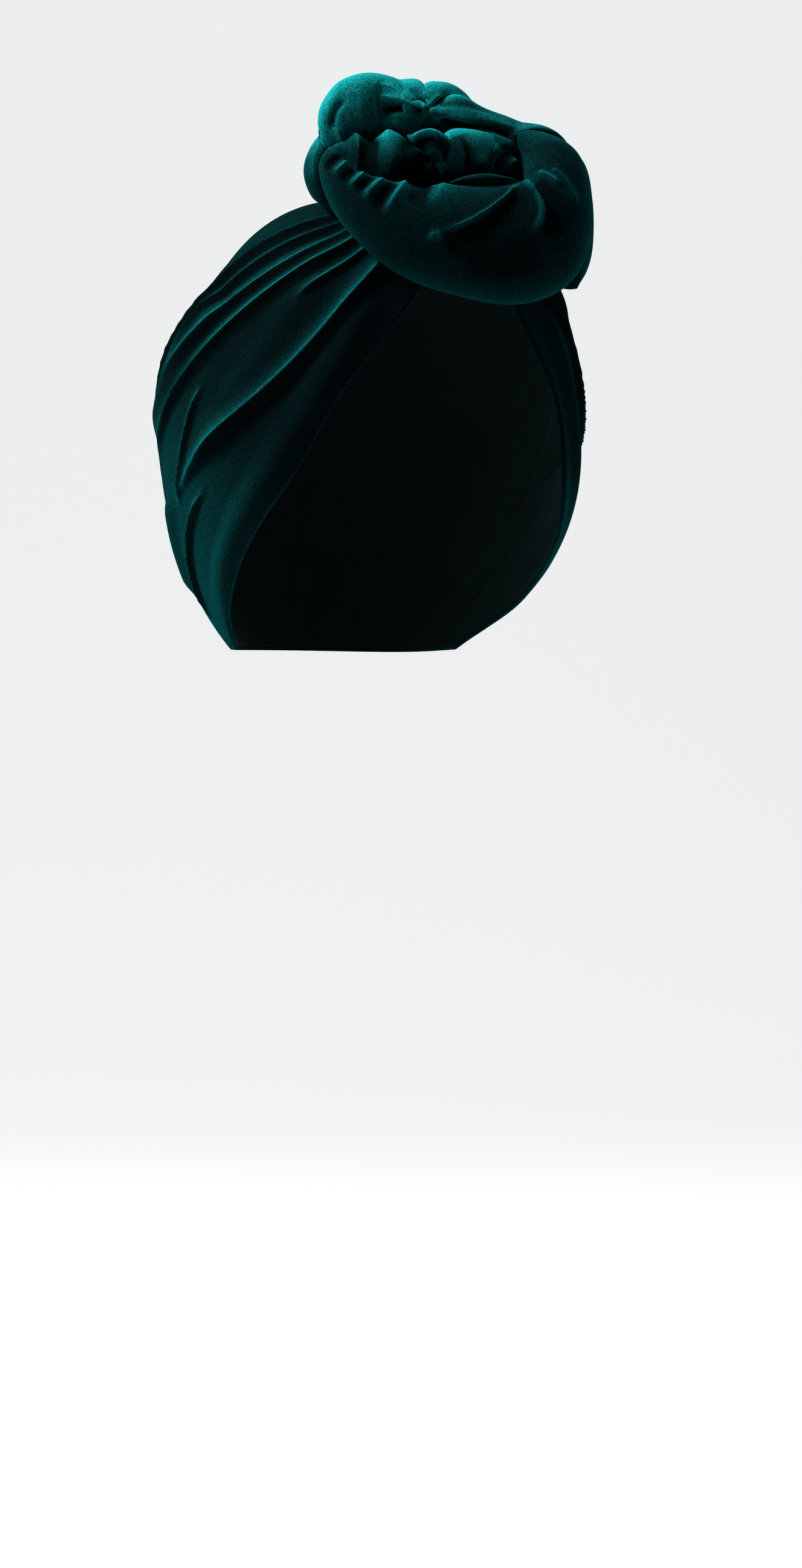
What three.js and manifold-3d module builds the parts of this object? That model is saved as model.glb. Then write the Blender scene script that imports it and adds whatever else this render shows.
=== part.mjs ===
// Pre-tied velvet turban headwrap: a pleated cap with an open face and nape, and a rosette knot of
// padded velvet rolls at the top front. Millimetres, +Z up. The wearer faces -Y and has the right
// hand at -X. The origin is the crown seat, where the inside of the cap rests on top of the head.
import * as THREE from 'three';
import { mergeVertices } from 'three/addons/utils/BufferGeometryUtils.js';
import Module from 'manifold-3d';

const wasm = await Module();
wasm.setup();

// ---------------------------------------------------------------- driving sizes

// The wearer's head is an egg: half width, and reach to the front, back, top and neck.
const HEAD = { side: 79, front: 95, back: 103, top: 90, bottom: 119 };
// Roundness of the dome's profile: 2 is an ellipse, more is squarer, less is more pointed.
const DOME = { front: 2.6, back: 1.7, below: 2 };
const DOME_BLEND = 180;

// Pleat lines fan out from under the knot and close in again below the nape. Their angles turn
// about an axis from the knot to the neck, which passes this point at the height of the egg's middle.
const FAN_CENTRE = new THREE.Vector3(0, -33, -HEAD.top);
const FAN_TOP = new THREE.Vector3(0, -78, 0);
const NAPE_REACH = 158;
const NAPE_CORNER = 4;

const CAP_WALL = 2;
const FOLD_SHOWING_INSIDE = 0.5;
const GAP = 0.35;
const SLIVER = 0.06;

// The cloth stands up where it is gathered into the knot.
const GATHER = { rise: 14, reach: 34 };

const CAP_GRID = { lines: 56, rows: 14, face: 8 };

// The knot is laid out in a plane that faces forward and to the wearer's right. u runs to the
// viewer's right, v up and w towards the viewer, from the knot's middle.
const KNOT_MIDDLE = new THREE.Vector3(0, -78, 0);
const KNOT_TURN = -28;

const VELVET = { color: 0x06413d, roughness: 0.85, metalness: 0 };

// ---------------------------------------------------------------- tables

function table(columns, rows) {
  return rows.map((row) => Object.fromEntries(columns.map((column, i) => [column, row[i]])));
}

// Where the face edge runs: the fan angle either side of the crown line, at each reach from the knot.
const FACE_EDGE = table(['reach', 'right', 'left'], [
  [0, 146, 146],
  [26, 138, 146],
  [48, 129, 140],
  [66, 123, 132],
  [84, 120, 131],
  [100, 117, 129],
  [114, 110, 121],
  [128, 103, 110],
  [145, 92, 94],
  [155, 79, 80],
  [160, 74, 74],
]);

// Pleats, from the crown line forward on the wearer's right. from and to are reaches from the
// knot; start, middle and end are fan angles; front and back are the widths of the two flanks.
// A ridge has a sharp crest and a puff a round one.
const PLEATS = table(
  ['shape', 'from', 'to', 'start', 'middle', 'end', 'height', 'front', 'back'],
  [
    ['puff', 8, 150, 30, 22, 14, 2.0, 14, 12],
    ['ridge', 6, 110, 51, 51, 40, 2.0, 6, 10],
    ['ridge', 10, 96, 62, 60, 48, 1.6, 5, 8],
    ['ridge', 6, 100, 73, 70, 46, 2.2, 6, 9],
    ['ridge', 6, 122, 84, 74, 42, 2.6, 7, 9],
    ['puff', 66, 116, 60, 49, 44, 3.4, 14, 18],
    ['ridge', 6, 52, 96, 93, 89, 1.6, 4, 6],
    ['puff', 34, 112, 88, 90, 76, 2.2, 12, 14],
    ['ridge', 6, 126, 108, 103, 62, 3.2, 7, 10],
    ['ridge', 88, 124, 71, 69, 67, 1.4, 5, 6],
    ['puff', 122, 146, 58, 55, 54, 2.4, 12, 14],
    ['ridge', 114, 150, 84, 72, 68, 1.6, 4, 5],
    ['puff', 20, 154, 115, 113, 82, 3.2, 9, 13],
  ],
);
const LEFT_PLEAT_SHIFT = 5;

// Rolls of the knot. Each row is a section across the roll, between a point on its inner edge
// (iu, iv) and one on its outer edge (ou, ov); w is the section's middle and deep its half depth.
const SECTION = ['iu', 'iv', 'ou', 'ov', 'w', 'deep'];
const ROLLS = [
  {
    name: 'outer_roll',
    rings: 26,
    sides: 14,
    sections: table(SECTION, [
      [-50, 15, -52, 14, 7, 2],
      [-46, 10, -55, 4, 11, 9],
      [-40, 5, -51, -9, 15, 14],
      [-31, 2, -42, -21, 18, 17],
      [-18, -1, -24, -36, 20, 20],
      [-2, -1, 0, -45, 21, 21],
      [13, -1, 22, -48, 20, 21],
      [23, 0, 41, -42, 17, 20],
      [25, 1, 51, -25, 13, 18],
      [25, 5, 52, -5, 9, 16],
      [24, 10, 49, 9, 4, 14],
      [21, 14, 41, 16, 0, 10],
      [16, 16, 26, 19, -4, 6],
      [10, 18, 12, 20, -6, 1],
    ]),
  },
  {
    name: 'lip_fold',
    rings: 10,
    sides: 8,
    sections: table(SECTION, [
      [-4, -1, -4, 0, 22, 0.5],
      [2, -1, 2, 2, 24, 3],
      [11, -1, 11, 3, 24, 3.5],
      [18, 0, 18, 2, 22, 3],
      [24, 0, 24, 1, 17, 0.5],
    ]),
  },
  {
    name: 'inner_roll_right',
    rings: 14,
    sides: 12,
    sections: table(SECTION, [
      [-6, 13, -8, 20, -4, 3],
      [-2, 0, -2, 24, -3, 16],
      [8, -3, 9, 23, -2, 20],
      [17, -2, 19, 19, 0, 18],
      [22, -1, 25, 13, 3, 15],
      [25, 1, 28, 8, 7, 8],
    ]),
  },
  {
    name: 'inner_roll_left',
    rings: 16,
    sides: 10,
    sections: table(SECTION, [
      [-50, 12, -50, 16, 0, 3],
      [-45, 0, -43, 22, -4, 15],
      [-34, -6, -34, 20, -5, 19],
      [-25, -8, -27, 22, -5, 21],
      [-16, -8, -18, 18, -5, 20],
      [-9, -5, -10, 12, -4, 15],
      [-4, 0, -4, 5, -3, 4],
    ]),
  },
  {
    name: 'centre_fold',
    rings: 9,
    sides: 8,
    sections: table(SECTION, [
      [-20, 18, -19, 20, 0, 2],
      [-14, 14, -16, 22, 3, 8],
      [-8, 8, -10, 23, 3, 11],
      [-4, 5, -4, 18, 2, 10],
      [-2, 3, -1, 9, -1, 3],
    ]),
  },
  {
    name: 'rear_roll',
    rings: 18,
    sides: 12,
    sections: table(SECTION, [
      [-12, 30, -11, 32, -1, 1],
      [-5, 24, -2, 38, -7, 9],
      [4, 14, 6, 35, -12, 15],
      [12, 2, 22, 29, -15, 19],
      [17, -9, 37, 23, -15, 20],
      [22, -16, 50, 12, -14, 19],
      [28, -22, 53, -3, -11, 16],
      [35, -28, 53, -17, -7, 13],
      [40, -34, 51, -30, -1, 8],
      [41, -40, 47, -40, 4, 1],
    ]),
  },
  {
    name: 'back_loop',
    rings: 16,
    sides: 12,
    sections: table(SECTION, [
      [-12, 31, -13, 33, -1, 1],
      [-17, 25, -21, 39, -7, 9],
      [-24, 17, -28, 46, -13, 16],
      [-32, 12, -37, 48, -16, 20],
      [-41, 10, -47, 45, -17, 20],
      [-48, 13, -53, 38, -18, 16],
      [-53, 20, -56, 30, -19, 6],
    ]),
  },
  {
    name: 'crest_fold_left',
    rings: 14,
    sides: 12,
    sections: table(SECTION, [
      [-14, 22, -10, 22, -9, 2],
      [-17, 28, -9, 28, -9, 4],
      [-21, 35, -11, 35, -9, 6],
      [-27, 38, -13, 39, -15, 7],
      [-33, 34, -13, 35, -26, 10],
      [-36, 21, -12, 22, -34, 12],
      [-35, 6, -11, 6, -37, 11],
      [-28, -6, -13, -7, -37, 4],
    ]),
  },
  {
    name: 'crest_fold_right',
    rings: 14,
    sides: 12,
    sections: table(SECTION, [
      [-12, 32, -11, 32, -2, 1],
      [-15, 36, -5, 35, -7, 5],
      [-16, 38, -1, 37, -14, 7],
      [-15, 34, 7, 32, -25, 10],
      [-12, 21, 14, 18, -32, 12],
      [-11, 6, 15, 4, -35, 11],
      [-9, -6, 8, -8, -35, 4],
    ]),
  },
  {
    name: 'side_lobe',
    rings: 14,
    sides: 12,
    sections: table(SECTION, [
      [-52, 25, -55, 25, -18, 2],
      [-49, 19, -60, 18, -20, 12],
      [-46, 11, -62, 11, -22, 16],
      [-44, 3, -61, 4, -24, 17],
      [-42, -5, -57, -2, -26, 15],
      [-38, -12, -50, -9, -26, 12],
      [-34, -16, -42, -15, -24, 4],
    ]),
  },
];

// ---------------------------------------------------------------- interpolation

const radians = THREE.MathUtils.degToRad;

function smooth(x) {
  return THREE.MathUtils.smoothstep(x, 0, 1);
}

// One column of a table at a value of its first column, on straight lines between the rows.
function lookUp(rows, key, column, value) {
  const last = rows.length - 1;
  let i = 0;
  while (i < last - 1 && rows[i + 1][key] < value) {
    i += 1;
  }
  const share = (value - rows[i][key]) / (rows[i + 1][key] - rows[i][key]);
  return THREE.MathUtils.lerp(rows[i][column], rows[i + 1][column], THREE.MathUtils.clamp(share, 0, 1));
}

// ---------------------------------------------------------------- head and cap surface

const FAN_AXIS = FAN_TOP.clone().sub(FAN_CENTRE).normalize();
const FAN_CROWN = new THREE.Vector3(0, FAN_AXIS.z, -FAN_AXIS.y);
const FAN_SIDE = new THREE.Vector3(-1, 0, 0);
const EGG_MIDDLE = new THREE.Vector3(0, 0, -HEAD.top);

// The egg around a point: its reach along each axis and the roundness of its profile there.
function eggAt(point) {
  const q = point.clone().sub(EGG_MIDDLE);
  const forward = smooth(0.5 - q.y / DOME_BLEND);
  return {
    q,
    depth: q.y < 0 ? HEAD.front : HEAD.back,
    height: q.z > 0 ? HEAD.top : HEAD.bottom,
    power: q.z > 0 ? THREE.MathUtils.lerp(DOME.back, DOME.front, forward) : DOME.below,
  };
}

// Under 1 inside the egg, 1 on it and over 1 outside.
function eggLevel(point) {
  const { q, depth, height, power } = eggAt(point);
  const ring = Math.hypot(q.x / HEAD.side, q.y / depth);
  return (ring ** power + Math.abs(q.z / height) ** power) ** (1 / power);
}

function eggNormal(point) {
  const { q, depth, height, power } = eggAt(point);
  const ring = Math.max(Math.hypot(q.x / HEAD.side, q.y / depth), 1e-6);
  const flat = ring ** (power - 2);
  const steep = Math.abs(q.z / height) ** (power - 1) / height;
  return new THREE.Vector3(
    (flat * q.x) / HEAD.side ** 2,
    (flat * q.y) / depth ** 2,
    Math.sign(q.z) * steep,
  ).normalize();
}

// The egg's surface at a reach from the knot and a fan angle, found by halving.
function eggPoint(reach, fan) {
  const direction = FAN_AXIS.clone().multiplyScalar(Math.cos(radians(reach)));
  direction.addScaledVector(FAN_CROWN, Math.sin(radians(reach)) * Math.cos(radians(fan)));
  direction.addScaledVector(FAN_SIDE, Math.sin(radians(reach)) * Math.sin(radians(fan)));
  let inside = 0;
  let outside = 2 * HEAD.bottom;
  for (let i = 0; i < 40; i += 1) {
    const middle = (inside + outside) / 2;
    const level = eggLevel(FAN_CENTRE.clone().addScaledVector(direction, middle));
    if (level < 1) {
      inside = middle;
    } else {
      outside = middle;
    }
  }
  return FAN_CENTRE.clone().addScaledVector(direction, inside);
}

// Height of one pleat at a reach, a number of millimetres from its crest line: its ends fade
// out, a ridge falls off as a parabola from a sharp crest and a puff as a cosine.
function pleatHeight(pleat, reach, fan, radius) {
  const along = (reach - pleat.from) / (pleat.to - pleat.from);
  if (along <= 0 || along >= 1) {
    return 0;
  }
  const line =
    pleat.start * (1 - along) * (1 - 2 * along) +
    pleat.middle * 4 * along * (1 - along) +
    pleat.end * along * (2 * along - 1);
  const across = radians(fan - line) * radius;
  const share = Math.abs(across) / (across > 0 ? pleat.front : pleat.back);
  if (share >= 1) {
    return 0;
  }
  const profile = pleat.shape === 'ridge' ? (1 - share) ** 2 : Math.cos((share * Math.PI) / 2) ** 2;
  const fade = smooth(along * 5) * smooth((1 - along) * 5);
  return pleat.height * profile * fade;
}

function pleating(reach, fan, radius) {
  const onLeft = fan < 0;
  const angle = onLeft ? Math.abs(fan) - LEFT_PLEAT_SHIFT : fan;
  return PLEATS.reduce((sum, pleat) => sum + pleatHeight(pleat, reach, angle, radius), 0);
}

// A point of the cap's cloth: offset from the egg, with all or part of the pleats and the
// gather's rise added.
function capPoint(reach, fan, offset, foldShare) {
  const base = eggPoint(reach, fan);
  const radius = base.distanceTo(FAN_CENTRE) * Math.sin(radians(reach));
  const rise = GATHER.rise * smooth(1 - reach / GATHER.reach);
  const height = offset + rise + foldShare * pleating(reach, fan, radius);
  return base.addScaledVector(eggNormal(base), height);
}

// Reach and fan angle of a grid place: line 0 is the wearer's right face edge and line 1 the left.
function capPlace(line, row) {
  const side = 1 - 2 * line;
  const reach = row * (NAPE_REACH - NAPE_CORNER * side ** 4);
  const edge = lookUp(FACE_EDGE, 'reach', side > 0 ? 'right' : 'left', reach);
  return { reach, fan: side * edge, edge };
}

// ---------------------------------------------------------------- mesh makers

function geometryOf(points, triangles) {
  const geometry = new THREE.BufferGeometry();
  const flat = points.flatMap((point) => [point.x, point.y, point.z]);
  geometry.setAttribute('position', new THREE.Float32BufferAttribute(flat, 3));
  geometry.setIndex(triangles);
  return geometry;
}

// The cap's cloth as one closed shell: an outer and an inner sheet from the gather's point to the
// nape, joined along the face edges and the nape edge.
function capShell() {
  const { lines, rows } = CAP_GRID;
  const width = lines + 1;
  const sheet = (offset, foldShare) => {
    const points = [capPoint(0, 0, offset, 0)];
    for (let r = 1; r <= rows; r += 1) {
      for (let i = 0; i <= lines; i += 1) {
        const { reach, fan } = capPlace(i / lines, r / rows);
        points.push(capPoint(reach, fan, offset, foldShare));
      }
    }
    return points;
  };
  const outer = sheet(CAP_WALL, 1);
  const inner = sheet(0, FOLD_SHOWING_INSIDE);
  const at = (r, i) => (r === 0 ? 0 : 1 + (r - 1) * width + i);
  const under = outer.length;
  const triangles = [];
  const quad = (a, b, c, d) => {
    triangles.push(a, b, c, a, c, d);
  };
  for (let i = 0; i < lines; i += 1) {
    triangles.push(at(0, 0), at(1, i + 1), at(1, i));
    triangles.push(under + at(0, 0), under + at(1, i), under + at(1, i + 1));
    for (let r = 1; r < rows; r += 1) {
      quad(at(r, i), at(r, i + 1), at(r + 1, i + 1), at(r + 1, i));
      quad(under + at(r, i), under + at(r + 1, i), under + at(r + 1, i + 1), under + at(r, i + 1));
    }
    quad(at(rows, i), at(rows, i + 1), under + at(rows, i + 1), under + at(rows, i));
  }
  for (let r = 0; r < rows; r += 1) {
    quad(at(r, 0), at(r + 1, 0), under + at(r + 1, 0), under + at(r, 0));
    quad(at(r, lines), under + at(r, lines), under + at(r + 1, lines), at(r + 1, lines));
  }
  return geometryOf([...outer, ...inner], triangles);
}

// A closed tube from rings of points, closed at each end on one point.
function tube(rings, firstEnd, lastEnd) {
  const sides = rings[0].length;
  const points = [firstEnd, ...rings.flat(), lastEnd];
  const last = points.length - 1;
  const at = (r, s) => 1 + r * sides + (s % sides);
  const triangles = [];
  for (let s = 0; s < sides; s += 1) {
    triangles.push(0, at(0, s + 1), at(0, s));
    triangles.push(last, at(rings.length - 1, s), at(rings.length - 1, s + 1));
    for (let r = 0; r < rings.length - 1; r += 1) {
      triangles.push(at(r, s), at(r, s + 1), at(r + 1, s + 1));
      triangles.push(at(r, s), at(r + 1, s + 1), at(r + 1, s));
    }
  }
  return geometryOf(points, triangles);
}

// The head with its cap on, as one solid a little bigger than the cap, for the knot to rest on.
function dressedHead() {
  const { lines, rows, face } = CAP_GRID;
  const rings = [];
  for (let r = 1; r <= rows; r += 1) {
    const ring = [];
    for (let i = 0; i <= lines; i += 1) {
      const { reach, fan } = capPlace(i / lines, r / rows);
      ring.push(capPoint(reach, fan, CAP_WALL + GAP, 1));
    }
    const right = capPlace(0, r / rows);
    const left = capPlace(1, r / rows);
    for (let i = 1; i < face; i += 1) {
      const share = i / face;
      const fan = THREE.MathUtils.lerp(left.fan, right.fan - 360, share);
      ring.push(capPoint(right.reach, fan, CAP_WALL + GAP, 0));
    }
    rings.push(ring);
  }
  const neck = FAN_CENTRE.clone().addScaledVector(FAN_AXIS, -HEAD.bottom);
  return tube(rings, capPoint(0, 0, CAP_WALL + GAP, 0), neck);
}

// ---------------------------------------------------------------- knot rolls

const KNOT_U = new THREE.Vector3(Math.cos(radians(KNOT_TURN)), Math.sin(radians(KNOT_TURN)), 0);
const KNOT_W = new THREE.Vector3(Math.sin(radians(KNOT_TURN)), -Math.cos(radians(KNOT_TURN)), 0);

function knotPoint(u, v, w) {
  const point = KNOT_MIDDLE.clone().addScaledVector(KNOT_U, u).addScaledVector(KNOT_W, w);
  point.z += v;
  return point;
}

// A roll's closed skin: ellipses between the two edge curves, as deep as the table says, with
// the depth at right angles to the edges and to the roll's run. grow fattens it all round.
function rollSkin(roll, grow) {
  const curve = (u, v) => new THREE.CatmullRomCurve3(
    roll.sections.map((row) => knotPoint(row[u], row[v], row.w)),
    false,
    'centripetal',
  );
  const inner = curve('iu', 'iv');
  const outer = curve('ou', 'ov');
  const depths = new THREE.CatmullRomCurve3(
    roll.sections.map((row, i) => new THREE.Vector3(row.deep, i, 0)),
    false,
    'centripetal',
  );
  const middleAt = (t) => inner.getPoint(t).add(outer.getPoint(t)).multiplyScalar(0.5);
  const rings = [];
  const step = 0.5 / roll.rings;
  for (let r = 0; r <= roll.rings; r += 1) {
    const t = r / roll.rings;
    const half = outer.getPoint(t).sub(inner.getPoint(t)).multiplyScalar(0.5);
    const run = middleAt(Math.min(t + step, 1)).sub(middleAt(Math.max(t - step, 0)));
    const depth = run.cross(half).normalize().multiplyScalar(depths.getPoint(t).x + grow);
    half.setLength(half.length() + grow);
    const ring = [];
    for (let s = 0; s < roll.sides; s += 1) {
      const angle = (2 * Math.PI * s) / roll.sides;
      const point = middleAt(t);
      point.addScaledVector(half, Math.cos(angle));
      point.addScaledVector(depth, Math.sin(angle));
      ring.push(point);
    }
    rings.push(ring);
  }
  const overhang = 0.5 + grow;
  const first = middleAt(0).add(middleAt(0).sub(middleAt(step)).setLength(overhang));
  const last = middleAt(1).add(middleAt(1).sub(middleAt(1 - step)).setLength(overhang));
  return tube(rings, first, last);
}

function solidOf(geometry) {
  const bare = mergeVertices(geometry, 1e-4);
  return new wasm.Manifold(new wasm.Mesh({
    numProp: 3,
    vertProperties: bare.getAttribute('position').array,
    triVerts: new Uint32Array(bare.getIndex().array),
  }));
}

// A cut solid's skin, with corners closer than a sliver's width welded, and the faces that this
// flattens to a line or folds back to back left out.
function geometryFrom(solid) {
  const cut = solid.simplify(SLIVER).getMesh();
  const geometry = new THREE.BufferGeometry();
  geometry.setAttribute('position', new THREE.BufferAttribute(cut.vertProperties, 3));
  geometry.setIndex(new THREE.BufferAttribute(cut.triVerts, 1));
  const welded = mergeVertices(geometry, SLIVER);
  const corners = welded.getIndex().array;
  const kept = new Map();
  for (let k = 0; k < corners.length; k += 3) {
    const face = corners.slice(k, k + 3);
    const key = [...face].sort((a, b) => a - b).join();
    if (new Set(face).size === 3 && !kept.delete(key)) {
      kept.set(key, face);
    }
  }
  welded.setIndex([...kept.values()].flatMap((face) => [...face]));
  return welded;
}

function largestLump(solid) {
  const lumps = solid.decompose();
  return lumps.reduce((best, lump) => (lump.volume() > best.volume() ? lump : best));
}

// ---------------------------------------------------------------- assembly

const turban = new THREE.Group();

function addPiece(name, geometry) {
  const material = new THREE.MeshStandardMaterial(VELVET);
  const mesh = new THREE.Mesh(geometry, material);
  mesh.name = name;
  turban.add(mesh);
}

addPiece('cap', capShell());

// Each roll is pressed against the cap and the rolls before it, with a small gap.
let taken = solidOf(dressedHead());
for (const roll of ROLLS) {
  const free = solidOf(rollSkin(roll, 0)).subtract(taken);
  addPiece(roll.name, geometryFrom(largestLump(free)));
  taken = taken.add(solidOf(rollSkin(roll, GAP)));
}

export default turban;
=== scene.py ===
"""Velvet turban headwrap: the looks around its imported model. Shapes are worked out in millimetres
in the model's frame, +Z up with the wearer facing -Y, and turned to metres as each mesh is made."""
import math

import bpy
import numpy as np
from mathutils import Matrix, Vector


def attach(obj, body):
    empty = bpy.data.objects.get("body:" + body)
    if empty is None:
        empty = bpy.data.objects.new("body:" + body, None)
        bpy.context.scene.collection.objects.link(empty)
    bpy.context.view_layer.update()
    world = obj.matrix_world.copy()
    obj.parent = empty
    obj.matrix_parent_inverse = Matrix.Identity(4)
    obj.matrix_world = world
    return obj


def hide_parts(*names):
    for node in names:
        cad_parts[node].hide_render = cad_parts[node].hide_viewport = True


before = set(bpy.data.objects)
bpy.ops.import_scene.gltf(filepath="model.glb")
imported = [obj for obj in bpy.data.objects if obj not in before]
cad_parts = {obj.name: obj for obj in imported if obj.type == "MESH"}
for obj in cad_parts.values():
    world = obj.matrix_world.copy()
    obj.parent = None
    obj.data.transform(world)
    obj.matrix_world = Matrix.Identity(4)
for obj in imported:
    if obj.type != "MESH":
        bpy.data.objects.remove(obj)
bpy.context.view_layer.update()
MM = 0.001

# ------------------------------------------------------------------ driving sizes

# The wearer's head is an egg: half width, and reach to the front, back, top and neck.
HEAD = {"side": 79, "front": 95, "back": 103, "top": 90, "bottom": 119}
# Roundness of its profile: 2 is an ellipse, more is squarer, less is more pointed.
DOME = {"front": 2.6, "back": 1.7, "below": 2.0}
DOME_BLEND = 180
EGG_MIDDLE = np.array([0.0, 0.0, -HEAD["top"]])

# Pleat lines fan out about an axis from the egg's middle height to just under the knot.
FAN_CENTRE = np.array([0.0, -33.0, -HEAD["top"]])
FAN_TOP = np.array([0.0, -78.0, 0.0])
NAPE_REACH = 158
NAPE_CORNER = 4
EDGE_EASE = 9
CAP_WALL = 2.0
FOLD_SHOWING_INSIDE = 0.5
HEM_ROUND = 0.45
GATHER = {"rise": 14, "reach": 34}
LEFT_PLEAT_SHIFT = 5
CAP_GRID = {"lines": 360, "rows": 128, "closer_on_right": 0.09}

# The knot is laid out in a plane that faces forward and to the wearer's right: u runs to the
# viewer's right, v up and w towards the viewer, from the knot's middle.
KNOT_MIDDLE = np.array([0.0, -78.0, 0.0])
TURN = math.radians(-28)
KNOT_U = np.array([math.cos(TURN), math.sin(TURN), 0.0])
KNOT_V = np.array([0.0, 0.0, 1.0])
KNOT_W = np.array([math.sin(TURN), -math.cos(TURN), 0.0])
CLEARANCE = 0.5
# The rolls swell unevenly by up to this height, over waves of this size, in full where a roll is
# at least so deep.
SWELL = {"height": 0.7, "size": 34, "full_at": 10}
END_POINT = 0.4
THINNEST = 0.1
# Folds are pressed in only where the skin faces forward: from this much, over this much more.
FRONT = {"from": -0.35, "over": 0.6}
# A roll's skin that was moved off a neighbour is eased in some passes. Each pass spreads to the
# places around by one share and pulls each place by the other.
EASE = {"passes": 14, "spread": 0.8, "pull": 0.7, "moved_over": 0.05}
# Sections up to this far along a neighbour count as passing a point.
SECTION_REACH = 1.5
SECTION_NEARNESS = 0.1
LEAST_LEVEL = 0.05

# Sizes of the cloth's and the paper's patterns.
PILE_GRAIN = 0.9
PILE_PATCH = 14.0
BACKING_LOOP = 1.1
BACKING_WEAR = 16.67
PAPER_TOOTH = 1.11

# Painted light: how much of the painted teal sheen shows, from 0 where none shows to about 2 where
# it shows most. The cap has little of it, and some more low down at the sides. The knot has more
# towards its upper left, painted lighter there and painted shade towards its lower right.
CAP_PAINTED_LIGHT = {"least": 0.03, "low": 0.14, "reach": 88, "reach_fade": 35, "fan": 35, "fan_fade": 40}
KNOT_PAINTED_LIGHT = {"least": 0.12, "more": 1.75, "v": 11, "v_rise": 24, "shade": 0.85, "u": -14, "u_fade": 38}
# A ridge adds painted highlight and a groove painted shade, for each millimetre of height.
FOLD_PAINTED_LIGHT = {"ridge": 0.35, "groove": 0.3}

CAMERA = {"away": 2200, "aside": 13.5, "height": -237, "view_height": 644, "sensor": 36}
SEEN_AS_FAR_AS = 100000
FLOOR_HEIGHT = -537
SWEEP = {"front": 5200, "back": 3600, "wide": 9000, "rise": 4800, "bend": 1200, "steps": 25}
ROOM_LIGHT = 0.03

# ------------------------------------------------------------------ tables


def table(columns, rows):
    """One array for each named column."""
    return dict(zip(columns, np.array(rows, float).T))


def records(columns, rows):
    """One dictionary for each row, keyed by the named columns."""
    return [dict(zip(columns, row)) for row in rows]


# Soft lights: each one's place in the knot plane's directions, its side and its power in watts.
LIGHTS = records(("name", "aside", "up", "toward", "size", "watts"), [
    ("key_light", -1500, 1500, 350, 600, 130),
    ("right_light", 1600, 100, -400, 700, 16),
    ("top_light", -300, 1800, -300, 900, 40),
])


# Where the face edge runs: the fan angle either side of the crown line, at each reach.
FACE_EDGE = table(("reach", "right", "left"), [
    (0, 146, 146), (26, 138, 146), (48, 129, 140), (66, 123, 132), (84, 120, 131), (100, 117, 129),
    (114, 110, 121), (128, 103, 110), (145, 92, 94), (155, 79, 80), (160, 74, 74),
])

# Pleats, from the crown line forward on the wearer's right. start and stop are reaches; a, b and c
# are the fan angles at the start, middle and end; front and back are the widths of the flanks.
RIDGE, PUFF = 0, 1
RIDGE_SHARPNESS = 2.6
PLEAT_ENDS_FADE = 5
# A ridge gets painted highlight on its crest and behind it, and painted shade on its front flank.
RIDGE_PAINTED_LIGHT = {"crest": 0.42, "behind": 0.24, "front": 0.1}
PLEAT = ("shape", "start", "stop", "a", "b", "c", "height", "front", "back")
PLEATS = records(PLEAT, [
    (PUFF, 8, 150, 30, 22, 14, 2.0, 14, 12),
    (RIDGE, 6, 110, 51, 51, 40, 3.0, 6, 10),
    (RIDGE, 10, 96, 62, 60, 48, 2.6, 5, 8),
    (RIDGE, 6, 100, 73, 70, 46, 3.2, 6, 9),
    (RIDGE, 6, 122, 84, 74, 42, 3.6, 6, 10),
    (PUFF, 66, 116, 60, 49, 44, 3.4, 14, 18),
    (RIDGE, 6, 52, 96, 93, 89, 2.4, 4, 6),
    (PUFF, 34, 112, 88, 90, 76, 2.2, 12, 14),
    (RIDGE, 6, 126, 108, 103, 62, 4.4, 6, 11),
    (RIDGE, 88, 124, 71, 69, 67, 2.2, 4, 6),
    (PUFF, 122, 146, 58, 55, 54, 2.4, 12, 14),
    (RIDGE, 114, 150, 84, 72, 68, 2.6, 4, 6),
    (PUFF, 20, 154, 115, 113, 82, 3.2, 9, 13),
])

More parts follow.
